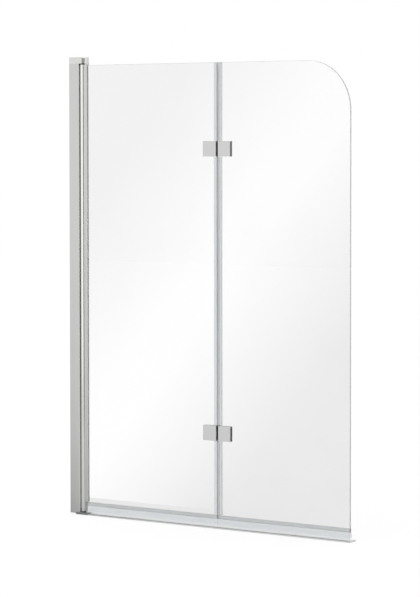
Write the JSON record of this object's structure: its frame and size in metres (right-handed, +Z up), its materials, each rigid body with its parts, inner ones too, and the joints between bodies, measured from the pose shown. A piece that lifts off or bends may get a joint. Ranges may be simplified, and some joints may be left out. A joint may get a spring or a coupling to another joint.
{
  "type": "bath screen",
  "caption": "Folding glass bath screen: a wall channel and pivot post carry clear hinged panels with a rounded free corner, soft clear edge strips and a low rim strip.",
  "frame": {"origin": "on the wall plane at the foot of the wall channel, in the middle of the glass thickness; the top of the bath rim lies 3 mm lower", "axes": "+X from the wall along the closed screen, +Y to the bath side, +Z up"},
  "size_m": [1.0085, 0.033, 1.4],
  "materials": {
    "profile_metal": "bright polished and anodised, with faint drawing lines",
    "hinge_chrome": "mirror chrome",
    "pin_steel": "turned stainless steel",
    "panel_glass": "clear toughened glass with ground edges",
    "clear_strip": "soft translucent plastic, slightly blue",
    "cap_chrome": "chromed moulded plastic",
    "shoe_grey": "mid grey moulded plastic",
    "bearing_black": "black moulded plastic",
    "gasket_grey": "soft grey elastomer",
    "nylon_white": "natural nylon",
    "foam_tape": "pale closed-cell foam tape"
  },
  "bodies": {
    "wall_side": {"wall_channel": "profile_metal", "adjusting_profile": "profile_metal", "top_cap": "cap_chrome", "top_pivot_pin": "pin_steel", "bottom_bearing": "shoe_grey", "bottom_pivot_pin": "pin_steel", "lock_screws": "pin_steel", "lock_screw_caps": "cap_chrome", "rim_strip": "profile_metal", "rim_tape": "foam_tape"},
    "inner_panel": {"pivot_profile": "profile_metal", "corner_block": "gasket_grey", "top_bush": "bearing_black", "bottom_bush": "bearing_black", "pocket_cap": "cap_chrome", "glazing_gasket": "gasket_grey", "inner_glass": "panel_glass", "inner_bottom_seal": "clear_strip", "inner_fold_strip_lower": "clear_strip", "inner_fold_strip_middle": "clear_strip", "inner_fold_strip_upper": "clear_strip", "inner_leaf_screws": "pin_steel", "inner_leaf_sleeves": "nylon_white", "lower_hinge_inner_back_pad": "gasket_grey", "lower_hinge_inner_back_plate": "hinge_chrome", "lower_hinge_inner_front_pad": "gasket_grey", "lower_hinge_inner_front_plate": "hinge_chrome", "lower_hinge_pin": "pin_steel", "lower_hinge_washers": "nylon_white", "upper_hinge_inner_back_pad": "gasket_grey", "upper_hinge_inner_back_plate": "hinge_chrome", "upper_hinge_inner_front_pad": "gasket_grey", "upper_hinge_inner_front_plate": "hinge_chrome", "upper_hinge_pin": "pin_steel", "upper_hinge_washers": "nylon_white"},
    "outer_panel": {"lower_hinge_outer_back_pad": "gasket_grey", "lower_hinge_outer_back_plate": "hinge_chrome", "lower_hinge_outer_front_pad": "gasket_grey", "lower_hinge_outer_front_plate": "hinge_chrome", "outer_bottom_seal": "clear_strip", "outer_fold_strip_lower": "clear_strip", "outer_fold_strip_middle": "clear_strip", "outer_fold_strip_upper": "clear_strip", "outer_glass": "panel_glass", "outer_leaf_screws": "pin_steel", "outer_leaf_sleeves": "nylon_white", "upper_hinge_outer_back_pad": "gasket_grey", "upper_hinge_outer_back_plate": "hinge_chrome", "upper_hinge_outer_front_pad": "gasket_grey", "upper_hinge_outer_front_plate": "hinge_chrome"}
  },
  "joints": [
    {"name": "wall_pivot", "type": "hinge", "parent": "wall_side", "child": "inner_panel", "pos_m": [0.041, 0, 0.7], "axis": [0, 0, 1], "range_deg": [-90, 90]},
    {"name": "panel_fold", "type": "hinge", "parent": "inner_panel", "child": "outer_panel", "pos_m": [0.544, 0.0095, 0.7], "axis": [0, 0, 1], "range_deg": [0, 180]}
  ]
}
